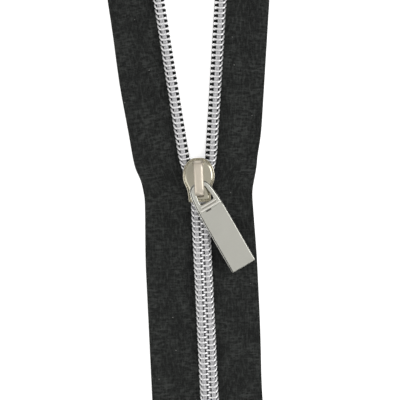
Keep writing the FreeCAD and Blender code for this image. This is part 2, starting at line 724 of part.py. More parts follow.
def check_and_write():
    doc.recompute()
    for item in doc.Objects:
        if "Invalid" in item.State or "Error" in item.State:
            raise ValueError(f"{item.Label} did not compute: {item.State}")
    pieces = sub_parts()
    for piece in pieces:
        if piece.Shape.isNull() or not piece.Shape.isValid() or not piece.Shape.Solids:
            raise ValueError(f"{piece.Label} has no valid solid")
    os.makedirs("parts", exist_ok=True)
    for piece in pieces:
        piece.Shape.exportStep(f"parts/{piece.Label}.step")
        print(f"{piece.Label}: {len(piece.Shape.Solids)} solid(s), {piece.Shape.Volume:.3f} mm3")


make_strips()
make_slider()
make_crown()
make_lock_spring()
make_pull()
make_stops()
check_and_write()
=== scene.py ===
"""A part-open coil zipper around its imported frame: tapes, coils, cords, stitching, slider, pull and stops.

Metres. +Y runs along the chain towards the open end, +X across it, +Z up. Both halves are first worked out with the
chain closed and straight, and then opened out about the pivot, so that closing the hinges brings them back together.
"""
import json
import math

import bpy
import numpy as np
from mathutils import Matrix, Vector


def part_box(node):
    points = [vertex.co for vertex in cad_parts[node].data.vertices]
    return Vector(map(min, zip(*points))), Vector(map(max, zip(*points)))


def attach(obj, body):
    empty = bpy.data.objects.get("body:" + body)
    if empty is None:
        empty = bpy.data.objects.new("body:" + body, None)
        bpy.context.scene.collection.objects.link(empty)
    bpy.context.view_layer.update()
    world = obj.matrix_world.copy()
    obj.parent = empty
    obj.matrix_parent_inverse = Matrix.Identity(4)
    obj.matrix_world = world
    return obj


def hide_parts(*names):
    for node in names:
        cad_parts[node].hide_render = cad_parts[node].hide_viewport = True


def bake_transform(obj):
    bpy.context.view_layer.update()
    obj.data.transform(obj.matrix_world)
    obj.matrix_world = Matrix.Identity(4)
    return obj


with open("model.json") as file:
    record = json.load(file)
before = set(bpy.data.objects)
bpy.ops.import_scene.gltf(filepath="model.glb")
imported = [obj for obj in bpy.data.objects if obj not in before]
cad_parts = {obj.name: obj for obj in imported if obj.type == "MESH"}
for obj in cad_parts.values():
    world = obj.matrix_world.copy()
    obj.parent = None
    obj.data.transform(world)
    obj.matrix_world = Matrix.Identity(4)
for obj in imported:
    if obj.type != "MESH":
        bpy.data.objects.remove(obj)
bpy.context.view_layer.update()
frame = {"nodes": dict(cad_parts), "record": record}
MM = 0.001

# ---------------------------------------------------------------- places taken from the frame

JOINTS = {joint["name"]: joint for joint in frame["record"]["behaviour"]["joints"]}
RATIOS = {link["joint"]: link["ratio"] for link in frame["record"]["behaviour"]["couplings"]}
TRAVEL = -JOINTS["slider_travel"]["range_m"][0]
OPEN_ANGLE = abs(RATIOS["left_opening"]) * TRAVEL
LOW_PIVOT = JOINTS["left_opening"]["pos_m"][1]
PIVOT = LOW_PIVOT + TRAVEL
SLIDER_LOW, SLIDER_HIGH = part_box("slider_body")
MOUTH = SLIDER_HIGH.y
REAR = SLIDER_LOW.y
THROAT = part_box("left_cord_throat")[0].y
TAPE_LOW, TAPE_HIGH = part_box("left_tape_middle")
CLOSED_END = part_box("left_tape_lower")[0].y
COIL_LOW, COIL_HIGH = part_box("left_coil_middle")
STRIP_LENGTH = 75 * MM
OPEN_END = MOUTH + STRIP_LENGTH
MIDDLE_CUT = (MOUTH + THROAT - TRAVEL) / 2
SIDES = {"left": -1, "right": 1}

# ---------------------------------------------------------------- sizes of what is made here

# The coil: the filament, how it is drawn round and how its heads are pressed wide and flat.
PITCH = 1.5 * MM
WIRE = 0.3 * MM
HEAD_REACH = COIL_HIGH.x
HEEL_REACH = -COIL_LOW.x
TURN_STEPS, WIRE_STEPS = 30, 8
HEAD_WIDER, HEAD_FLATTER = 0.26, 0.12
HEEL_SLANT_START, HEEL_SLANT_LENGTH = 0.08, 0.6
OPEN_SPREAD = 0.19 * MM

# The tape: raised beside the chain, with a flat border. Its edges aren't quite straight.
TAPE_THICK = 0.55 * MM
TAPE_INNER = -TAPE_HIGH.x
TAPE_OUTER = -TAPE_LOW.x
RAISED = TAPE_HIGH.z
RAISED_EDGE = 5.0 * MM
BORDER_EDGE = 10.5 * MM
EDGE_DENSE, EDGE_ROUND = 0.8 * MM, 0.3 * MM
LIP = {-1: 0.42 * MM, 1: 0.66 * MM}
LIP_REACH = 3 * MM
CLOSED_EDGE = {-1: 0.62 * MM, 1: -0.25 * MM}
OPEN_EDGE = {-1: -0.05 * MM, 1: -0.72 * MM}
EDGE_CHANGE_BELOW, EDGE_CHANGE_LENGTH = 32 * MM, 23 * MM
EDGE_WAVES = {-1: [(-3.6 * MM, 3.8 * MM, -0.6 * MM), (24 * MM, 12 * MM, 0.4 * MM)],
              1: [(0, 5.5 * MM, -0.7 * MM), (-66 * MM, 12 * MM, -0.4 * MM)]}

# Cord, stitches and where a strip bends.
CORD_RADIUS = 0.62 * MM
CORD_PLACE = 1.27 * MM
THREAD_RADIUS = 0.085 * MM
THREAD_ROWS = (0.92 * MM, 1.34 * MM, 1.76 * MM)
STITCH_DIP, STITCH_SWAY = 0.55 * MM, 0.05 * MM
BACK_ROWS = (1.0 * MM, 2.0 * MM)
BACK_THREAD_RADIUS = 0.11 * MM
END_INSET = 0.4 * MM
STRIP_MIDDLE = 3 * MM
SWING_BEND = 14 * MM
TOP_STOP_UP, TOP_STOP_LENGTH = 60 * MM, 4.2 * MM

SHARP_ANGLE = math.radians(50)
SCRATCH_DEPTH, WEAVE_DEPTH, PLY_DEPTH = 0.0015 * MM, 0.09 * MM, 0.05 * MM


# ---------------------------------------------------------------- arrays and meshes

def smooth_step(share):
    """Nought below nought, one above one, and a level-ended curve between."""
    share = np.clip(share, 0, 1)
    return share * share * (3 - 2 * share)


def unit(vectors):
    """Vectors divided by their lengths."""
    return vectors / np.maximum(np.linalg.norm(vectors, axis=-1, keepdims=True), 1e-12)


def grid_faces(rows, columns, wrap_rows=False, wrap_columns=False):
    """Quads between neighbouring points of a grid, with points numbered row by row."""
    row = np.arange(rows if wrap_rows else rows - 1)[:, None]
    column = np.arange(columns if wrap_columns else columns - 1)[None, :]
    below, beside = (row + 1) % rows, (column + 1) % columns
    quads = [row * columns + column, row * columns + beside, below * columns + beside, below * columns + column]
    return np.stack(np.broadcast_arrays(*quads), -1).reshape(-1, 4)


def corners_cut(points, cuts, closed=True):
    """An outline with each corner cut at a quarter and three quarters of its sides, over and over, which runs
    to a smooth curve through the middles of the sides."""
    points = np.asarray(points, float)
    for _ in range(cuts):
        after = np.roll(points, -1, 0)
        cut = np.stack([0.75 * points + 0.25 * after, 0.25 * points + 0.75 * after], 1)
        if closed:
            points = cut.reshape(-1, points.shape[1])
        else:
            points = np.concatenate([points[:1], cut[:-1].reshape(-1, points.shape[1]), points[-1:]])
    return points


def both_halves(right):
    """A closed outline from its right half, whose first and last points lie on the middle line."""
    right = np.asarray(right, float)
    return np.concatenate([right, right[-2:0:-1] * [-1, 1]])


def drawn_in(ring, spine, inset):
    """An outline moved inwards by a length, straight towards the nearest point of a spine on the middle line."""
    nearest = np.stack([np.zeros(len(ring)), np.clip(ring[:, 1], *spine)], -1)
    return ring - unit(ring - nearest) * inset


def shrunk(ring, spine, share):
    """An outline moved a share of the way to its spine."""
    nearest = np.stack([np.zeros(len(ring)), np.clip(ring[:, 1], *spine)], -1)
    return ring + (nearest - ring) * share


def lifted(ring, height):
    """A flat outline set at a height."""
    return np.column_stack([ring, np.broadcast_to(height, len(ring))])


def eased(made, width, segments=2, angle=0.6):
    """Small rounded edges on a piece, by a bevel."""
    bevel = made.modifiers.new("eased edges", "BEVEL")
    bevel.width = width
    bevel.segments = segments
    bevel.limit_method = "ANGLE"
    bevel.angle_limit = angle
    bevel.harden_normals = False
    return made


def piece(name, points, faces, material, uv=None):
    """A mesh object at the origin; uv holds one pair for each point."""
    mesh = bpy.data.meshes.new(name)
    mesh.from_pydata(np.asarray(points, float).reshape(-1, 3).tolist(), [], [list(map(int, face)) for face in faces])
    if uv is not None:
        corner_points = np.zeros(len(mesh.loops), np.int32)
        mesh.loops.foreach_get("vertex_index", corner_points)
        layer = mesh.uv_layers.new(name="UVMap")
        layer.data.foreach_set("uv", np.asarray(uv, np.float32).reshape(-1, 2)[corner_points].ravel())
    mesh.polygons.foreach_set("use_smooth", np.ones(len(mesh.polygons), bool))
    mesh.set_sharp_from_angle(angle=SHARP_ANGLE)
    mesh.materials.append(material)
    mesh.update()
    made = bpy.data.objects.new(name, mesh)
    bpy.context.scene.collection.objects.link(made)
    return made


def outward(made):
    """Turns a closed piece's faces to point out of it."""
    mesh = made.data
    mesh.calc_loop_triangles()
    corners = np.zeros(len(mesh.loop_triangles) * 3, np.int32)
    mesh.loop_triangles.foreach_get("vertices", corners)
    points = np.zeros(len(mesh.vertices) * 3)
    mesh.vertices.foreach_get("co", points)
    a, b, c = np.moveaxis(points.reshape(-1, 3)[corners.reshape(-1, 3)], 1, 0)
    if (a * np.cross(b, c)).sum() < 0:
        mesh.flip_normals()
    return made


def swept(name, sections, material, uv=None):
    """A solid through rows of section points: quads between the rows, and a flat cap on each end."""
    rows, columns = sections.shape[:2]
    faces = grid_faces(rows, columns, False, True).tolist()
    faces.append(list(range(columns)))
    faces.append(list(range((rows - 1) * columns, rows * columns))[::-1])
    return outward(piece(name, sections, faces, material, uv))


def open_out(points, side):
    """Turns each point about the upright line through the pivot, by the strip's whole angle from the mouth up
    and by a smooth step of it between the throat's start and the mouth."""
    points = np.asarray(points, float)
    angle = -side * OPEN_ANGLE * smooth_step((points[..., 1] - THROAT) / (MOUTH - THROAT))
    across, along = points[..., 0], points[..., 1] - PIVOT
    turned = points.copy()
    turned[..., 0] = across * np.cos(angle) - along * np.sin(angle)
    turned[..., 1] = PIVOT + across * np.sin(angle) + along * np.cos(angle)
    return turned


# ---------------------------------------------------------------- materials

def material(name):
    """A new material with its nodes, its links and its shader."""
    made = bpy.data.materials.new(name)
    made.use_nodes = True
    nodes = made.node_tree.nodes
    return made, nodes, made.node_tree.links, nodes["Principled BSDF"]


def math_node(nodes, links, operation, *values):
    """A Math node; each value is a number or the socket that feeds it."""
    node = nodes.new("ShaderNodeMath")
    node.operation = operation
    for index, value in enumerate(values):
        if isinstance(value, (int, float)):
            node.inputs[index].default_value = value
        else:
            links.new(value, node.inputs[index])
    return node.outputs[0]


def group(name, inputs, outputs):
    """An empty node group with its named sockets: inputs as name, type and starting value, outputs as name and
    type."""
    tree = bpy.data.node_groups.new(name, "ShaderNodeTree")
    for label, kind, value in inputs:
        socket = tree.interface.new_socket(label, in_out="INPUT", socket_type=kind)
        if value is not None:
            socket.default_value = value
    for label, kind in outputs:
        tree.interface.new_socket(label, in_out="OUTPUT", socket_type=kind)
    start = tree.nodes.new("NodeGroupInput")
    end = tree.nodes.new("NodeGroupOutput")
    return tree, start, end


def weave_group():
    """Plain weave on a map in millimetres: squares in turn show the hump of a lengthwise and of a crosswise yarn."""
    tree, start, end = group(
        "weave",
        [("Map", "NodeSocketVector", None), ("Warp pitch", "NodeSocketFloat", 0.45),
         ("Weft pitch", "NodeSocketFloat", 0.38), ("Unevenness", "NodeSocketFloat", 0.25)],
        [("Height", "NodeSocketFloat"), ("Shade", "NodeSocketFloat")])
    nodes, links = tree.nodes, tree.links

    def sums(operation, *values):
        return math_node(nodes, links, operation, *values)

    drift = nodes.new("ShaderNodeTexNoise")
    drift.inputs["Scale"].default_value = 0.9
    drift.inputs["Detail"].default_value = 3
    links.new(start.outputs["Map"], drift.inputs["Vector"])
    split = nodes.new("ShaderNodeSeparateXYZ")
    links.new(start.outputs["Map"], split.inputs[0])
    sway = sums("MULTIPLY", sums("SUBTRACT", drift.outputs["Fac"], 0.5), start.outputs["Unevenness"])

    def yarn_wave(place, pitch):
        """A sine that crosses nought between one yarn and the next."""
        yarns_along = sums("DIVIDE", sums("ADD", place, sway), start.outputs[pitch])
        return sums("SINE", sums("MULTIPLY", yarns_along, math.pi))

    warp, weft = yarn_wave(split.outputs[0], "Warp pitch"), yarn_wave(split.outputs[1], "Weft pitch")
    clamp = nodes.new("ShaderNodeClamp")
    links.new(sums("ADD", sums("MULTIPLY", sums("MULTIPLY", warp, weft), 4.0), 0.5), clamp.inputs[0])
    over = clamp.outputs[0]
    warp, weft = sums("ABSOLUTE", warp), sums("ABSOLUTE", weft)
    height = sums("ADD", sums("MULTIPLY", warp, over), sums("MULTIPLY", weft, sums("SUBTRACT", 1.0, over)))

    def streaks(across_scale, along_scale, least, most):
        """Noise drawn out one way, put out as nought to one between two levels."""
        drawn = nodes.new("ShaderNodeMapping")
        drawn.inputs["Scale"].default_value = (across_scale, along_scale, 1)
        links.new(start.outputs["Map"], drawn.inputs["Vector"])
        noise = nodes.new("ShaderNodeTexNoise")
        noise.inputs["Scale"].default_value = 1.0
        noise.inputs["Detail"].default_value = 2
        links.new(drawn.outputs[0], noise.inputs["Vector"])
        span = nodes.new("ShaderNodeMapRange")
        span.inputs["From Min"].default_value = least
        span.inputs["From Max"].default_value = most
        links.new(noise.outputs["Fac"], span.inputs["Value"])
        return span.outputs[0]

    crosswise = streaks(across_scale=0.45, along_scale=1.5, least=0.42, most=0.72)
    lengthwise = streaks(across_scale=1.6, along_scale=0.5, least=0.46, most=0.74)
    patches = streaks(across_scale=0.16, along_scale=0.13, least=0.35, most=0.65)
    grain = streaks(across_scale=2.3, along_scale=2.9, least=0.3, most=0.75)
    yarns = sums("ADD", sums("MULTIPLY", crosswise, patches), sums("MULTIPLY", lengthwise, 0.55))
    yarns = sums("ADD", yarns, sums("MULTIPLY", grain, 0.35))
    shade = sums("SUBTRACT", sums("ADD", sums("MULTIPLY", height, 0.3), sums("MULTIPLY", yarns, 0.95)), 0.08)
    links.new(height, end.inputs["Height"])
    links.new(shade, end.inputs["Shade"])
    return tree


def wear_group():
    """Handling marks on plated metal: broad smudges and fine scratches, put out as a roughness and a shade."""
    tree, start, end = group(
        "handling",
        [("Place", "NodeSocketVector", None), ("Smudge size", "NodeSocketFloat", 400.0),
         ("Least rough", "NodeSocketFloat", 0.12), ("Most rough", "NodeSocketFloat", 0.3)],
        [("Roughness", "NodeSocketFloat"), ("Shade", "NodeSocketFloat"), ("Height", "NodeSocketFloat")])
    nodes, links = tree.nodes, tree.links
    smudge = nodes.new("ShaderNodeTexNoise")
    smudge.inputs["Detail"].default_value = 6
    smudge.inputs["Roughness"].default_value = 0.65
    links.new(start.outputs["Place"], smudge.inputs["Vector"])
    links.new(start.outputs["Smudge size"], smudge.inputs["Scale"])
    stretch = nodes.new("ShaderNodeMapping")
    stretch.inputs["Scale"].default_value = (9000, 600, 3000)
    stretch.inputs["Rotation"].default_value = (0.2, 0.1, 0.5)
    links.new(start.outputs["Place"], stretch.inputs["Vector"])
    scratch = nodes.new("ShaderNodeTexNoise")
    scratch.inputs["Scale"].default_value = 1.0
    scratch.inputs["Detail"].default_value = 2
    links.new(stretch.outputs[0], scratch.inputs["Vector"])

    def sums(operation, *values):
        return math_node(nodes, links, operation, *values)

    mix = sums("ADD", sums("MULTIPLY", smudge.outputs["Fac"], 0.75), sums("MULTIPLY", scratch.outputs["Fac"], 0.25))
    span = sums("SUBTRACT", start.outputs["Most rough"], start.outputs["Least rough"])
    links.new(sums("ADD", start.outputs["Least rough"], sums("MULTIPLY", mix, span)), end.inputs["Roughness"])
    links.new(sums("ADD", 0.82, sums("MULTIPLY", smudge.outputs["Fac"], 0.3)), end.inputs["Shade"])
    links.new(scratch.outputs["Fac"], end.inputs["Height"])
    return tree


def twist_group():
    """Twisted yarn on a strand's map (round, along): slanting plies, put out as a height and a shade."""
    tree, start, end = group(
        "twist",
        [("Map", "NodeSocketVector", None), ("Plies", "NodeSocketFloat", 3.0), ("Lay", "NodeSocketFloat", 0.9)],
        [("Height", "NodeSocketFloat"), ("Shade", "NodeSocketFloat")])
    nodes, links = tree.nodes, tree.links

    def sums(operation, *values):
        return math_node(nodes, links, operation, *values)

    split = nodes.new("ShaderNodeSeparateXYZ")
    links.new(start.outputs["Map"], split.inputs[0])
    turn = sums("ADD", sums("MULTIPLY", split.outputs[0], start.outputs["Plies"]),
                sums("DIVIDE", split.outputs[1], start.outputs["Lay"]))
    height = sums("ABSOLUTE", sums("SINE", sums("MULTIPLY", turn, math.pi)))
    hairs = nodes.new("ShaderNodeTexNoise")
    hairs.inputs["Scale"].default_value = 6.0
    hairs.inputs["Detail"].default_value = 5
    links.new(start.outputs["Map"], hairs.inputs["Vector"])
    links.new(height, end.inputs["Height"])
    links.new(sums("ADD", sums("MULTIPLY", height, 0.45), sums("MULTIPLY", hairs.outputs["Fac"], 0.7)),
              end.inputs["Shade"])
    return tree


WEAVE, WEAR, TWIST = weave_group(), wear_group(), twist_group()


def placed(nodes, tree, **values):
    """A node group set in a material with its own values for the named inputs."""
    node = nodes.new("ShaderNodeGroup")
    node.node_tree = tree
    for name, value in values.items():
        node.inputs[name.replace("_", " ").capitalize()].default_value = value
    return node


def shaded(nodes, links, fac, dark, light):
    """A colour between two, by a shade that runs from nought to one."""
    ramp = nodes.new("ShaderNodeValToRGB")
    ramp.color_ramp.elements[0].color = (*dark, 1)
    ramp.color_ramp.elements[1].color = (*light, 1)
    links.new(fac, ramp.inputs[0])
    return ramp.outputs[0]


def bumped(nodes, links, shader, height, depth):
    """Fine relief of a given depth on a shader's normal."""
    bump = nodes.new("ShaderNodeBump")
    bump.inputs["Distance"].default_value = depth
    bump.inputs["Strength"].default_value = 1.0
    links.new(height, bump.inputs["Height"])
    links.new(bump.outputs[0], shader.inputs["Normal"])


def tape_cloth():
    """Charcoal polyester tape: fine weave, uneven yarns and a few specks of lint."""
    made, nodes, links, shader = material("tape_cloth")
    place = nodes.new("ShaderNodeUVMap")
    place.uv_map = "UVMap"
    weave = placed(nodes, WEAVE, warp_pitch=0.5, weft_pitch=0.46, unevenness=0.3)
    links.new(place.outputs[0], weave.inputs["Map"])
    lint = nodes.new("ShaderNodeTexVoronoi")
    lint.inputs["Scale"].default_value = 0.22
    links.new(place.outputs[0], lint.inputs["Vector"])
    speck = math_node(nodes, links, "LESS_THAN", lint.outputs["Distance"], 0.03)
    cloth = shaded(nodes, links, weave.outputs["Shade"], (0.003, 0.0034, 0.0034), (0.040, 0.043, 0.041))
    mix = nodes.new("ShaderNodeMix")
    mix.data_type = "RGBA"
    links.new(speck, mix.inputs["Factor"])
    links.new(cloth, mix.inputs[6])
    mix.inputs[7].default_value = (0.2, 0.2, 0.19, 1)
    links.new(mix.outputs[2], shader.inputs["Base Color"])
    shader.inputs["Roughness"].default_value = 0.9
    shader.inputs["Specular IOR Level"].default_value = 0.12
    shader.inputs["Sheen Weight"].default_value = 0.03
    shader.inputs["Sheen Roughness"].default_value = 0.5
    bumped(nodes, links, shader, weave.outputs["Height"], WEAVE_DEPTH)
    return made


def yarn(name, dark, light, plies, lay):
    """Spun yarn with slanting plies."""
    made, nodes, links, shader = material(name)
    place = nodes.new("ShaderNodeUVMap")
    place.uv_map = "UVMap"
    twist = placed(nodes, TWIST, plies=plies, lay=lay)
    links.new(place.outputs[0], twist.inputs["Map"])
    links.new(shaded(nodes, links, twist.outputs["Shade"], dark, light), shader.inputs["Base Color"])
    shader.inputs["Roughness"].default_value = 0.7
    shader.inputs["Sheen Weight"].default_value = 0.2
    bumped(nodes, links, shader, twist.outputs["Height"], PLY_DEPTH)
    return made


def plated(name, colour, least, most, smudge):
    """Plated metal with smudges and fine scratches, between a least and a most roughness."""
    made, nodes, links, shader = material(name)
    place = nodes.new("ShaderNodeTexCoord")
    wear = placed(nodes, WEAR, smudge_size=smudge, least_rough=least, most_rough=most)
    links.new(place.outputs["Object"], wear.inputs["Place"])
    dark = tuple(channel * 0.72 for channel in colour)
    links.new(shaded(nodes, links, wear.outputs["Shade"], dark, colour), shader.inputs["Base Color"])
    links.new(wear.outputs["Roughness"], shader.inputs["Roughness"])
    shader.inputs["Metallic"].default_value = 1.0
    bumped(nodes, links, shader, wear.outputs["Height"], SCRATCH_DEPTH)
    return made


TAPE = tape_cloth()
CORD = yarn("cord_yarn", (0.26, 0.26, 0.27), (0.70, 0.70, 0.72), 3.0, 1.6)
THREAD = yarn("sewing_thread", (0.42, 0.42, 0.43), (0.88, 0.88, 0.90), 2.0, 0.7)
SILVER = plated("silver_filament", (0.93, 0.93, 0.94), 0.26, 0.44, 900.0)
NICKEL = plated("polished_nickel", (0.44, 0.415, 0.335), 0.06, 0.20, 350.0)
WORN = plated("worn_nickel", (0.60, 0.545, 0.46), 0.32, 0.52, 900.0)
SATIN = plated("satin_nickel", (0.53, 0.53, 0.485), 0.14, 0.30, 260.0)
# Lighter copy of the pull's nickel for its ridges: a painted highlight standing in for light caught by the raised
# ridges.
RIDGE_HIGHLIGHT = plated("ridge_painted_highlight", (0.74, 0.73, 0.68), 0.24, 0.40, 500.0)
# Near-black metal for the pull's steep side walls: painted shade standing in for the shadow along the pull's sides.
PULL_WALL_SHADE = plated("pull_wall_painted_shade", (0.07, 0.066, 0.058), 0.4, 0.6, 700.0)
# Darkened metal in the groove between the pull's ridges: painted shade for the dark line between them.
GROOVE_SHADE = plated("groove_painted_shade", (0.26, 0.25, 0.22), 0.35, 0.5, 900.0)
# Near-black metal in the notch in the pull's tab: painted shade in the hollow.
NOTCH_SHADE = plated("notch_painted_shade", (0.10, 0.095, 0.085), 0.45, 0.7, 900.0)
STEEL = plated("spring_steel", (0.60, 0.59, 0.57), 0.2, 0.35, 500.0)
PRESSED = plated("pressed_metal", (0.78, 0.78, 0.79), 0.2, 0.36, 400.0)


# ---------------------------------------------------------------- the two strips

def tape_height(across):
    """Underside of a tape: raised beside the chain, sloping smoothly down to a border that lies flat."""
    return (RAISED - TAPE_THICK) * (1 - smooth_step((across - RAISED_EDGE) / (BORDER_EDGE - RAISED_EDGE)))


def tape_run(name, side, start, end):
    """A length of tape: a thin closed section, rounded at both edges, carried along the strip. Its inner edge
    springs out by a lip where it isn't pressed against the other tape, and its outer edge wanders a little."""
    half = TAPE_THICK / 2
    share = 0.5 - 0.5 * np.cos(np.linspace(0, math.pi, 9))
    inner_edge = TAPE_INNER + EDGE_DENSE * share
    body = np.linspace(TAPE_INNER + EDGE_DENSE, TAPE_OUTER - EDGE_DENSE, 40)[1:-1]
    outer_edge = TAPE_OUTER - EDGE_DENSE * share[::-1]
    across = np.concatenate([inner_edge, body, outer_edge])
    ends = np.clip(np.minimum(across - TAPE_INNER, TAPE_OUTER - across) / EDGE_ROUND, 0, 1)
    thick = half * np.sqrt(1 - (1 - ends) ** 2) * 0.9 + half * 0.1
    middle = tape_height(across) + half
    top = np.stack([across, middle + thick], -1)
    under = np.stack([across, middle - thick], -1)[::-1]
    section = np.concatenate([top, under])
    stations = np.linspace(start, end, int(round((end - start) / MM)) + 1)
    lip = LIP[side] * smooth_step((stations - THROAT) / (MOUTH - THROAT))
    nearness = smooth_step(1 - (section[:, 0] - TAPE_INNER) / LIP_REACH)
    farness = smooth_step((section[:, 0] - RAISED_EDGE) / (TAPE_OUTER - RAISED_EDGE))
    opened = smooth_step((stations - MOUTH + EDGE_CHANGE_BELOW) / EDGE_CHANGE_LENGTH)
    wander = CLOSED_EDGE[side] + (OPEN_EDGE[side] - CLOSED_EDGE[side]) * opened
    for centre, width, shift in EDGE_WAVES[side]:
        wander += shift * np.exp(-((stations - MOUTH - centre) / width) ** 2)
    rows = np.zeros((len(stations), len(section), 3))
    rows[..., 0] = side * (section[None, :, 0] - lip[:, None] * nearness + wander[:, None] * farness)
    rows[..., 1] = stations[:, None]
    rows[..., 2] = section[None, :, 1]
    uv = np.stack([rows[..., 0] / MM, rows[..., 1] / MM], -1)
    return swept(name, open_out(rows, side), TAPE, uv)


def turn_line(steps):
    """The centre line of one turn, from its top leg's head end: out along the top, round the slanting heel to the
    next turn's bottom leg, back along the bottom and round the head. Columns are across, along and up."""
    bend = (COIL_HIGH.z - COIL_LOW.z) / 2 - WIRE
    middle = (COIL_HIGH.z + COIL_LOW.z) / 2
    head = -(HEAD_REACH - WIRE - bend)
    heel = HEEL_REACH - WIRE - bend
    leg = heel - head
    lengths = np.array([leg, math.pi * bend, leg, math.pi * bend])
    stops = np.concatenate([[0], np.cumsum(lengths)]) / lengths.sum()
    way = np.arange(steps) / steps
    part = np.clip(np.searchsorted(stops, way, side="right") - 1, 0, 3)
    share = (way - stops[part]) / (stops[part + 1] - stops[part])
    turn = math.pi * share
    across = np.select([part == 0, part == 1, part == 2],
                       [head + leg * share, heel + bend * np.sin(turn), heel - leg * share],
                       head - bend * np.sin(turn))
    up = np.select([part == 0, part == 1, part == 2],
                   [middle + bend, middle + bend * np.cos(turn), middle - bend],
                   middle - bend * np.cos(turn))
    slant = PITCH * smooth_step((share - HEEL_SLANT_START) / HEEL_SLANT_LENGTH)
    along = np.select([part == 0, part == 1], [0 * share, slant], PITCH)
    headness = np.where(part == 3, np.sin(turn), 0) + 0 * share
    return np.stack([across, along, up], -1), headness


def coil_run(name, side, start, end):
    """A coil: a round filament, flattened and widened at its heads, carried along its turns, and spread at its heel
    where the strip is open."""
    shift = 0.0 if side < 0 else PITCH / 2
    first = math.ceil((start - MOUTH - shift) / PITCH - 1e-6)
    last = math.floor((end - MOUTH - shift) / PITCH - 1e-6)
    line, headness = turn_line(TURN_STEPS)
    turns = np.arange(first, last + 1)
    along = MOUTH + shift + turns * PITCH
    lines = np.broadcast_to(line, (len(turns), TURN_STEPS, 3)).copy()
    lines[..., 1] += along[:, None]
    spread = OPEN_SPREAD * smooth_step((lines[..., 1] - MOUTH + 1 * MM) / (3 * MM))
    lines[..., 0] += spread * smooth_step(lines[..., 0] / HEEL_REACH)
    lines = np.concatenate([lines.reshape(-1, 3), lines[-1, :1] + [0, PITCH, 0]]) * [side, 1, 1]
    path = open_out(lines, side)
    heads = np.append(np.tile(headness, len(turns)), headness[0])
    tangent = unit(np.gradient(path, axis=0))
    level = np.array([0.0, 1.0, 0.0])
    beside = unit(level - tangent * (tangent @ level)[:, None])
    upward = np.cross(tangent, beside)
    angle = np.arange(WIRE_STEPS) * 2 * math.pi / WIRE_STEPS
    wide = WIRE * (1 + HEAD_WIDER * heads)[:, None, None]
    deep = WIRE * (1 - HEAD_FLATTER * heads)[:, None, None]
    ring = (beside[:, None] * np.cos(angle)[None, :, None] * wide
            + upward[:, None] * np.sin(angle)[None, :, None] * deep)
    return swept(name, path[:, None] + ring, SILVER)


def strand(name, side, path, radius, around, material, way):
    """A round strand along a path, with a map of its turn and of its length in millimetres."""
    path = open_out(path, side)
    tangent = unit(np.gradient(path, axis=0))
    beside = unit(np.cross(tangent, [0.0, 0.0, 1.0]))
    upward = np.cross(beside, tangent)
    angle = np.arange(around) * 2 * math.pi / around
    ring = beside[:, None] * np.cos(angle)[None, :, None] + upward[:, None] * np.sin(angle)[None, :, None]
    sections = path[:, None] + radius * ring
    uv = np.stack(np.broadcast_arrays(angle[None, :] / (2 * math.pi), way[:, None] / MM), -1)
    return swept(name, sections, material, uv)


def cord_run(name, side, start, end):
    """The filler cord through the coil."""
    along = np.linspace(start, end, int((end - start) / (0.75 * MM)))
    path = np.stack([np.full_like(along, side * CORD_PLACE), along,
                     np.full_like(along, (COIL_HIGH.z + COIL_LOW.z) / 2)], -1)
    return strand(name, side, path, CORD_RADIUS, 10, CORD, along)


def stitch_run(name, side, start, end, row):
    """A row of stitches: the thread lies over each leg of the coil and dips between the legs."""
    along = np.linspace(start, end, int((end - start) / PITCH * 12))
    shift = 0.0 if side < 0 else PITCH / 2
    phase = (along - MOUTH - shift) / PITCH * 2 * math.pi
    over = COIL_HIGH.z + THREAD_RADIUS * 0.75
    height = over - STITCH_DIP * ((1 - np.cos(phase)) / 2) ** 0.8
    sway = STITCH_SWAY * np.sin(phase)
    path = np.stack([side * (row + sway), along, height], -1)
    return strand(name, side, path, THREAD_RADIUS, 6, THREAD, along)


def back_stitch_run(name, side, start, end, row):
    """The thread's row on the back of the tape: one stitch to each turn, bedded in the cloth."""
    along = np.linspace(start, end, int((end - start) / PITCH * 10))
    phase = (along - MOUTH) / PITCH * 2 * math.pi
    height = RAISED - TAPE_THICK - 0.04 * MM + 0.12 * MM * (0.5 - 0.5 * np.cos(phase)) ** 2
    path = np.stack([np.full_like(along, side * row), along, height], -1)
    return strand(name, side, path, BACK_THREAD_RADIUS, 6, THREAD, along)


def make_strip(name, side):
    """Both lengths of one strip: the lower from the closed end to the middle cut, the upper from there to the open
    end.
    """
    spans = {"lower": (CLOSED_END, MIDDLE_CUT), "upper": (MIDDLE_CUT, OPEN_END)}
    mouth_middle = open_out(np.array([side * STRIP_MIDDLE, MOUTH + PITCH / 4, 0.0]), side)
    swing_end = open_out(np.array([side * STRIP_MIDDLE, MOUTH + PITCH / 4 + SWING_BEND, 0.0]), side)
    stands_for = {"lower": ("lower", "middle"), "upper": ("throat", "upper")}
    for half, (start, end) in spans.items():
        low = start + (END_INSET if half == "lower" else 0)
        high = end - (END_INSET if half == "upper" else 0)
        coil_high = high - (PITCH if half == "upper" else 0)
        made = {
            "tape": [tape_run(f"{name}_tape_{half}_length", side, start, end)],
            "coil": [coil_run(f"{name}_coil_{half}_length", side, low, coil_high)],
            "cord": [cord_run(f"{name}_filler_cord_{half}", side, low, high)],
            "thread": [stitch_run(f"{name}_stitches_{half}_{index}", side, low, high, row)
                       for index, row in enumerate(THREAD_ROWS)]
            + [back_stitch_run(f"{name}_back_stitches_{half}_{index}", side, low, high, row)
               for index, row in enumerate(BACK_ROWS)],
        }
        for kind, parts in made.items():
            for part in parts:
                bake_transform(part)
            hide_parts(*(f"{name}_{kind}_{run}" for run in stands_for[half]))


# ---------------------------------------------------------------- slider

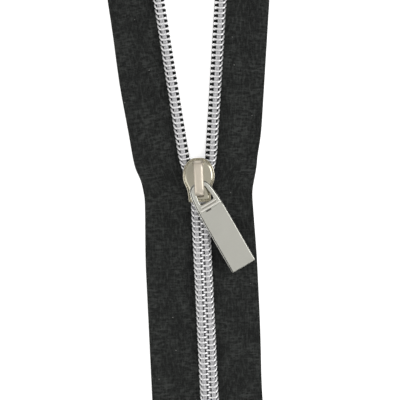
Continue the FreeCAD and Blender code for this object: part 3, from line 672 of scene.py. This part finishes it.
# Across and along from the mouth, in millimetres.
PLATE_HALF = [(0, 0), (1.35, 0), (2.95, -0.85), (4.35, -2.95), (4.62, -6.1), (3.5, -8.6), (3.2, -10.6),
              (3.2, -12.15), (2.95, -12.6), (0, -12.6)]
PLATE_SPINE = (-8.6 * MM, -4.6 * MM)
PLATE_THICK = 0.9 * MM
CHANNEL_CLEAR = 0.2 * MM
BURIED = 0.3 * MM
WEDGE_BACK, WEDGE_FRONT = 6.0 * MM, 0.25 * MM
WEDGE_THIN, WEDGE_WIDE = 0.05 * MM, 1.3 * MM
FLANGE_FRONT, FLANGE_REAR = 5.4 * MM, 0.25 * MM
FLANGE_LIFT, FLANGE_THIN = 0.4 * MM, 0.12 * MM


def plate_ring():
    """The slider's outline from above, measured from the mouth: a short straight front, round shoulders and
    sides that taper to the rear."""
    return corners_cut(both_halves(np.array(PLATE_HALF) * MM), 3)


def ringed(name, rings, material):
    """A closed solid through rings of points, shut by a point in the middle of the first and of the last."""
    rings = np.asarray(rings)
    rows, columns = rings.shape[:2]
    faces = grid_faces(rows, columns, False, True).tolist()
    middles = [rings[0].mean(0), rings[-1].mean(0)]
    first, last = rows * columns, rows * columns + 1
    step = np.arange(columns)
    faces += np.stack([step, np.full(columns, first), (step + 1) % columns], -1).tolist()
    base = (rows - 1) * columns
    faces += np.stack([base + step, base + (step + 1) % columns, np.full(columns, last)], -1).tolist()
    return outward(piece(name, np.concatenate([rings.reshape(-1, 3), middles]), faces, material))


def plate(name, lengths, shares):
    """A plate on the slider's outline. Each ring is the outline drawn in by a length or a share, at a height."""
    ring = plate_ring()
    rings = [lifted(drawn_in(ring, PLATE_SPINE, inset), height) for inset, height in lengths]
    innermost = drawn_in(ring, PLATE_SPINE, lengths[-1][0])
    rings += [lifted(shrunk(innermost, PLATE_SPINE, share), height) for share, height in shares]
    rings = np.array(rings)
    rings[..., 1] += MOUTH
    return ringed(name, rings, NICKEL)


def parting(along):
    """How far a strip's middle line has moved sideways at a place along the chain."""
    points = np.stack([np.zeros_like(along), along, np.zeros_like(along)], -1)
    return open_out(points, 1)[:, 0]


def make_slider():
    """The cast slider. Its top plate has a raised rim, a groove inside it and a low dome, and a bottom plate, a
    wedge between the strips and a flange down each side complete it."""
    top = SLIDER_HIGH.z
    under = top - PLATE_THICK
    rim = [(1.6, -0.90), (0.3, -0.90), (0.08, -0.86), (0.0, -0.76), (0.0, -0.36), (0.03, -0.28), (0.1, -0.215),
           (0.2, -0.19), (0.28, -0.205), (0.33, -0.27), (0.38, -0.42), (0.46, -0.50), (0.58, -0.50), (0.68, -0.42),
           (0.80, -0.34)]
    rim = [(inset * MM, top + height * MM) for inset, height in rim]
    dome = [(share, top - 0.34 * MM + 0.34 * MM * math.sin(share ** 0.8 * math.pi / 2))
            for share in np.linspace(0.04, 0.97, 14)]
    top_plate = plate("slider_top_plate", rim, dome)
    floor_rings = [(1.6, 0.0), (0.45, 0.0), (0.22, 0.03), (0.07, 0.13), (0.0, 0.3), (0.0, 0.72), (0.04, 0.84),
                   (0.15, 0.9)]
    bottom_plate = plate("slider_bottom_plate", [(inset * MM, height * MM) for inset, height in floor_rings],
                         [(0.3, PLATE_THICK), (0.9, PLATE_THICK)])
    wedge_along = np.linspace(MOUTH - WEDGE_BACK, MOUTH - WEDGE_FRONT, 24)
    wedge_half = np.clip(parting(wedge_along) - HEAD_REACH - CHANNEL_CLEAR, WEDGE_THIN, WEDGE_WIDE)
    right = np.stack([wedge_half, wedge_along], -1)
    ring = np.concatenate([right, right[::-1] * [-1, 1]])
    wedge = swept("slider_wedge", np.array([lifted(ring, PLATE_THICK / 2), lifted(ring, under + BURIED)]), NICKEL)
    outline = plate_ring()
    right_side = outline[outline[:, 0] > 0]
    right_side = right_side[np.argsort(right_side[:, 1])]
    pieces = [top_plate, bottom_plate, wedge]
    for name, side in SIDES.items():
        along = np.linspace(MOUTH - FLANGE_FRONT, REAR + FLANGE_REAR, 24)
        inner = parting(along) + HEEL_REACH + CHANNEL_CLEAR
        outer = np.interp(along - MOUTH, right_side[:, 1], right_side[:, 0])
        outer = np.maximum(outer, inner + FLANGE_THIN)
        low, high = RAISED + FLANGE_LIFT, under + BURIED
        rows = [np.array([[side * a, y, low + 0.06 * MM], [side * (a + b) / 2, y, low],
                          [side * b, y, low + 0.08 * MM], [side * b, y, high], [side * a, y, high]])
                for a, b, y in zip(inner, outer, along)]
        pieces.append(eased(swept(f"slider_{name}_flange", np.array(rows), NICKEL), 0.05 * MM))
    for part in pieces:
        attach(part, "slider")
    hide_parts("slider_body")


def make_crown():
    """The crown: a folded strip, open below, carried from its flared front foot up over its round head, along
    the roof and down to its rear foot."""
    low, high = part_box("crown")
    half = (high.x - low.x) / 2 + 0.1 * MM
    base = SLIDER_HIGH.z - 0.28 * MM
    front, rear = high.y + 0.1 * MM, low.y - 0.2 * MM
    top = high.z
    side_view = [(front, base), (front, base + 0.9 * MM), (front - 0.5 * MM, top - 0.55 * MM),
                 (front - 1.6 * MM, top - 0.06 * MM), (front - 3.2 * MM, top + 0.03 * MM),
                 (rear + 3.6 * MM, top - 0.04 * MM), (rear + 1.2 * MM, top - 0.18 * MM),
                 (rear + 0.15 * MM, top - 1.3 * MM), (rear, base + 0.6 * MM), (rear, base)]
    path = corners_cut(side_view, 3, closed=False)
    tangent = unit(np.gradient(path, axis=0))
    inward = np.stack([tangent[:, 1], -tangent[:, 0]], -1)
    inward *= np.sign(((np.array([(front + rear) / 2, base]) - path) * inward).sum(-1))[:, None]
    way = np.concatenate([[0], np.cumsum(np.linalg.norm(np.diff(path, axis=0), axis=1))])
    flare = 1 + 0.24 * (1 - smooth_step((way - 0.9 * MM) / (1.5 * MM)))
    turn = np.linspace(0, math.pi / 2, 9)
    crest = np.stack([np.sin(turn) ** 0.6, 0.8 * (1 - np.cos(turn) ** 0.6)], -1)
    skin, lip = 0.42, 1.05
    right = np.concatenate([crest, [(1.0, lip), (1 - skin / 1.25, lip), (1 - skin / 1.25, 0.42), (0.5, 0.2)]])
    loop = np.concatenate([right, right[:0:-1] * [-1, 1]])
    rows = np.zeros((len(path), len(loop), 3))
    rows[..., 0] = loop[None, :, 0] * half * flare[:, None]
    depth = loop[None, :, 1] * MM
    rows[..., 1] = path[:, None, 0] + inward[:, None, 0] * depth
    rows[..., 2] = path[:, None, 1] + inward[:, None, 1] * depth
    crown = eased(swept("slider_crown", rows, WORN), 0.04 * MM)
    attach(crown, "slider")
    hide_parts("crown")


# ---------------------------------------------------------------- pull

# How the pull lies, where its crossbar is, and its outlines across and along from there, in millimetres.
PULL_SWAY, PULL_SLOPE, PULL_ROLL = math.radians(27.0), math.radians(4.0), math.radians(5.5)
BAR_BACK, BAR_UP, BAR_OFFSET = 7.75 * MM, 1.1 * MM, 0.42 * MM
LOOP_OUTSIDE = [(0, 0.56), (1.2, 0.56), (2.2, 0.12), (2.82, -0.95), (3.08, -2.3), (3.3, -4.4), (3.5, -6.6),
                (3.5, -15.0), (3.5, -25.6), (3.5, -26.15), (2.9, -26.15), (0, -26.15)]
LOOP_HOLE = [(0, -0.66), (1.0, -0.66), (1.5, -0.9), (1.68, -1.5), (1.8, -2.4), (1.96, -3.6), (2.08, -4.4),
             (2.14, -4.85), (2.0, -5.2), (1.6, -5.3), (0.9, -5.3), (0, -5.3)]
TAB_HALF = [(0, -7.3), (2.8, -7.3), (3.5, -7.3), (3.52, -7.9), (3.52, -16.0), (3.52, -25.7), (3.52, -26.2),
            (3.0, -26.2), (0, -26.2)]
LOOP_SPINE = (-22.7 * MM, -2.6 * MM)
HOLE_SPINE = (-4.2 * MM, -1.8 * MM)
TAB_SPINE = (-22.7 * MM, -10.8 * MM)


def pull_frame():
    """The pull's own axes as columns, and the middle of its crossbar: swayed, sloping down and leaning a little."""
    turns = [(2, PULL_SWAY), (0, PULL_SLOPE), (1, PULL_ROLL)]
    axes = np.eye(3)
    for axis, angle in turns:
        c, s = math.cos(angle), math.sin(angle)
        a, b = (axis + 1) % 3, (axis + 2) % 3
        turn = np.eye(3)
        turn[a, a], turn[a, b], turn[b, a], turn[b, b] = c, -s, s, c
        axes = axes @ turn
    bar = np.array([0.0, MOUTH - BAR_BACK, SLIDER_HIGH.z + BAR_UP])
    return axes, bar - axes @ np.array([BAR_OFFSET, 0, 0])


def on_pull(points):
    """Points in the pull's own axes, moved to where it lies."""
    axes, middle = pull_frame()
    return np.asarray(points) @ axes.T + middle


def pull_ridge(name, half, top, bottom, height):
    """A rounded ridge across the pull in a lighter metal that is a painted highlight, given by its half width, its
    two edges and the height of its back.
    """
    middle, reach = (top + bottom) / 2, (top - bottom) / 2
    levels = [(0.0, 0.6), (0.08, 0.35), (0.2, 0.62), (0.4, 0.84), (0.65, 0.97), (0.85, 1.0)]
    corner = corners_cut(both_halves(np.array([(0, 1), (0.8, 1), (1, 0.8), (1, -0.8), (0.8, -1), (0, -1)])), 2)
    rings = []
    for share, lift in levels:
        inset = share * reach
        ring = corner * [half - inset, reach - inset] + [0, middle]
        rings.append(on_pull(lifted(ring * MM, (0.55 if share == 0 else 0.7 + (height - 0.7) * lift) * MM)))
    return ringed(name, rings, RIDGE_HIGHLIGHT)


def pull_hollow(name, across, along, half, reach, height, shade_material):
    """A narrow hollow across the pull in a darkened metal that is painted shade, given by its middle, its half length
    and half width.
    """
    corner = corners_cut(both_halves(np.array([(0, 1), (0.85, 1), (1, 0.6), (1, -0.6), (0.85, -1), (0, -1)])), 2)
    ring = (corner * [half, reach] + [across, along]) * MM
    return ringed(name, [on_pull(lifted(ring, level * MM)) for level in (height - 0.1, height)], shade_material)


def make_pull():
    """One casting: a loop of bevelled rails round its hole and crossbar with drafted walls, a long flat tab, two
    ridges across it, a groove between them and a notch in the tab. The steep walls carry painted shade, the ridges
    a painted highlight, and the groove and notch painted shade. Levels are an inset and a height."""
    outside = corners_cut(both_halves(np.array(LOOP_OUTSIDE) * MM), 3)
    hole = corners_cut(both_halves(np.array(LOOP_HOLE) * MM), 3)
    rounding = [(0.27, 0.70), (0.23, 0.70), (0.12, 0.66), (0.04, 0.59), (0.0, 0.50)]
    walls = [(-0.13, -0.14), (-0.16, -0.19), (-0.26, -0.21), (-0.29, -0.25), (-0.30, -0.40), (-0.22, -0.62),
             (-0.06, -0.70), (0.1, -0.70)]
    outer = [lifted(drawn_in(outside, LOOP_SPINE, inset * MM), height * MM) for inset, height in rounding + walls]
    inner_round = [(0.28, 0.70), (0.24, 0.70), (0.12, 0.64), (0.03, 0.52), (0.0, 0.36), (0.0, -0.36), (0.05, -0.6),
                   (0.16, -0.70), (0.2, -0.70)]
    inner = [lifted(drawn_in(hole, HOLE_SPINE, -outset * MM), height * MM) for outset, height in inner_round]
    rings = np.array(outer + inner[::-1])
    rows, columns = rings.shape[:2]
    loop = outward(piece("pull_casting", on_pull(rings.reshape(-1, 3)), grid_faces(rows, columns, True, True), SATIN))
    tab_ring = corners_cut(both_halves(np.array(TAB_HALF) * MM), 3)
    tab_levels = [(0.0, 0.55), (0.0, 0.80), (0.02, 0.86), (0.06, 0.893), (0.12, 0.90), (0.16, 0.90)]
    tab = ringed("pull_tab", [on_pull(lifted(drawn_in(tab_ring, TAB_SPINE, inset * MM), height * MM))
                              for inset, height in tab_levels], SATIN)
    # The steep walls just under the rounded rim get the near-black metal: a painted shadow along both sides of the
    # pull.
    loop.data.materials.append(PULL_WALL_SHADE)
    cast = np.zeros(len(loop.data.polygons), np.int32)
    cast[(len(rounding) - 1) * columns:(len(rounding) + 1) * columns] = 1
    loop.data.polygons.foreach_set("material_index", cast)
    bands = [pull_ridge("pull_band_upper", half=2.5, top=-5.56, bottom=-6.14, height=0.92),
             pull_ridge("pull_band_lower", half=3.0, top=-6.42, bottom=-7.24, height=1.02),
             pull_hollow("pull_groove", across=0.0, along=-6.28, half=2.3, reach=0.12, height=0.715, shade_material=GROOVE_SHADE),
             pull_hollow("pull_notch", across=-0.86, along=-7.48, half=0.85, reach=0.2, height=0.908, shade_material=NOTCH_SHADE)]
    for part in (loop, tab, *bands):
        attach(part, "pull")
    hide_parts("pull")


# ---------------------------------------------------------------- stops

def saddle(name, across_from, across_to, start, length, side):
    """A pressed stop: a rounded channel over the coil, gripping it at both edges, carried along the strip."""
    wall = 0.42 * MM
    low = COIL_LOW.z
    high = COIL_HIGH.z + 0.46 * MM
    left, right = across_from - wall, across_to + wall
    outer = [(left, low), (left, high - 0.4 * MM), (left + 0.15 * MM, high), (left + 0.7 * MM, high + 0.05 * MM),
             (right - 0.7 * MM, high + 0.05 * MM), (right - 0.15 * MM, high), (right, high - 0.4 * MM), (right, low)]
    inner = [(right - wall, low), (right - wall, high - 0.5 * MM), (right - wall - 0.15 * MM, high - 0.36 * MM),
             (left + wall + 0.15 * MM, high - 0.36 * MM), (left + wall, high - 0.5 * MM), (left + wall, low)]
    ring = np.concatenate([corners_cut(outer, 2, closed=False), corners_cut(inner, 1, closed=False)])
    along = np.linspace(start, start + length, 6)
    rows = np.zeros((len(along), len(ring), 3))
    rows[..., 0] = ring[None, :, 0]
    rows[..., 1] = along[:, None]
    rows[..., 2] = ring[None, :, 1]
    rows = open_out(rows, side) if side else rows
    return eased(swept(name, rows, PRESSED), 0.09 * MM, 2, 1.0)


def make_stops():
    """A stop at the top of each open strip and a wide one across the closed chain."""
    clear = 0.08 * MM
    for name, side in SIDES.items():
        reach = sorted((-side * (HEAD_REACH + clear), side * (HEEL_REACH + clear)))
        stop = saddle(f"{name}_top_stop_saddle", *reach, MOUTH + TOP_STOP_UP, TOP_STOP_LENGTH, side)
        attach(stop, f"{name}_upper")
        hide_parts(f"{name}_top_stop")
    low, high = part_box("bottom_stop")
    stop = saddle("bottom_stop_saddle", -HEEL_REACH - clear, HEEL_REACH + clear, low.y, high.y - low.y, 0)
    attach(stop, "closed_end")
    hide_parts("bottom_stop")


# ---------------------------------------------------------------- camera, lights and floor

IMAGE_SIDE, SCALE = 400, 3.5
VIEW_SIDE = IMAGE_SIDE / SCALE * MM
VIEW_ROLL = math.radians(2.8)
VIEW_CENTRE = (0.04 * MM, MOUTH - 12.0 * MM)
CAMERA_HEIGHT = 0.62
FLOOR_HALF = 1.5

# The room is dimmer or brighter by how far a direction turns from one way: as a share of facing it, and a level.
DIM_TOWARDS = (-0.20, 0.15, 0.97)
ROOM_LIGHT = [(0.0, 0.14), (1.0, 0.66), (0.3, 0.30), (0.7, 0.85), (0.93, 0.82), (0.985, 0.72)]


def make_camera():
    """A long lens straight above the slider, turned a little so that the chain leans."""
    data = bpy.data.cameras.new("camera")
    data.sensor_fit = "VERTICAL"
    data.angle = 2 * math.atan(VIEW_SIDE / 2 / CAMERA_HEIGHT)
    data.clip_start = 0.01
    camera = bpy.data.objects.new("camera", data)
    camera.location = (*VIEW_CENTRE, CAMERA_HEIGHT)
    camera.rotation_euler = (0, 0, -VIEW_ROLL)
    bpy.context.scene.collection.objects.link(camera)
    bpy.context.scene.camera = camera


def softbox(name, place, side, power):
    """A square lamp aimed at the origin."""
    data = bpy.data.lights.new(name, "AREA")
    data.shape = "SQUARE"
    data.size = side
    data.energy = power
    lamp = bpy.data.objects.new(name, data)
    lamp.location = place
    direction = -np.array(place)
    lamp.rotation_euler = tuple(Vector(direction).to_track_quat("-Z", "Y").to_euler())
    bpy.context.scene.collection.objects.link(lamp)


def make_studio():
    """A pale sheet under the zipper, a pale room and four soft lamps."""
    pale, _, _, shader = material("pale_floor")
    shader.inputs["Base Color"].default_value = (0.86, 0.86, 0.86, 1)
    shader.inputs["Roughness"].default_value = 0.9
    shader.inputs["Specular IOR Level"].default_value = 0.1
    shader.inputs["Emission Color"].default_value = (1, 1, 1, 1)
    shader.inputs["Emission Strength"].default_value = 0.52
    corners = [(across * FLOOR_HALF, along * FLOOR_HALF, 0) for across, along in ((-1, -1), (1, -1), (1, 1), (-1, 1))]
    floor = piece("floor", corners, [(0, 1, 2, 3)], pale)
    world = bpy.data.worlds.new("studio")
    world.use_nodes = True
    nodes, links = world.node_tree.nodes, world.node_tree.links
    place = nodes.new("ShaderNodeTexCoord")
    towards = nodes.new("ShaderNodeVectorMath")
    towards.operation = "DOT_PRODUCT"
    towards.inputs[1].default_value = tuple(unit(np.array(DIM_TOWARDS)))
    links.new(place.outputs["Generated"], towards.inputs[0])
    ramp = nodes.new("ShaderNodeValToRGB")
    links.new(towards.outputs["Value"], ramp.inputs[0])
    for spot in ROOM_LIGHT[2:]:
        ramp.color_ramp.elements.new(spot[0])
    for element, (spot, level) in zip(ramp.color_ramp.elements, sorted(ROOM_LIGHT)):
        element.position = spot
        element.color = (level, level * 0.99, level * 0.97, 1)
    links.new(ramp.outputs[0], nodes["Background"].inputs[0])
    nodes["Background"].inputs[1].default_value = 1.0
    bpy.context.scene.world = world
    softbox("key", (0.46, 0.10, 0.42), side=0.34, power=1.6)
    softbox("side", (-0.44, -0.14, 0.40), side=0.34, power=0.55)
    softbox("top", (-0.01, 0.06, 0.75), side=0.06, power=0.07)
    softbox("front", (0.16, -0.50, 0.30), side=0.34, power=0.6)
    bpy.context.scene.view_settings.view_transform = "Standard"


make_camera()
make_studio()
for strip_name, strip_side in SIDES.items():
    make_strip(strip_name, strip_side)
make_slider()
make_crown()
make_pull()
make_stops()
spring = frame["nodes"]["lock_spring"]
spring.data.materials.clear()
spring.data.materials.append(STEEL)
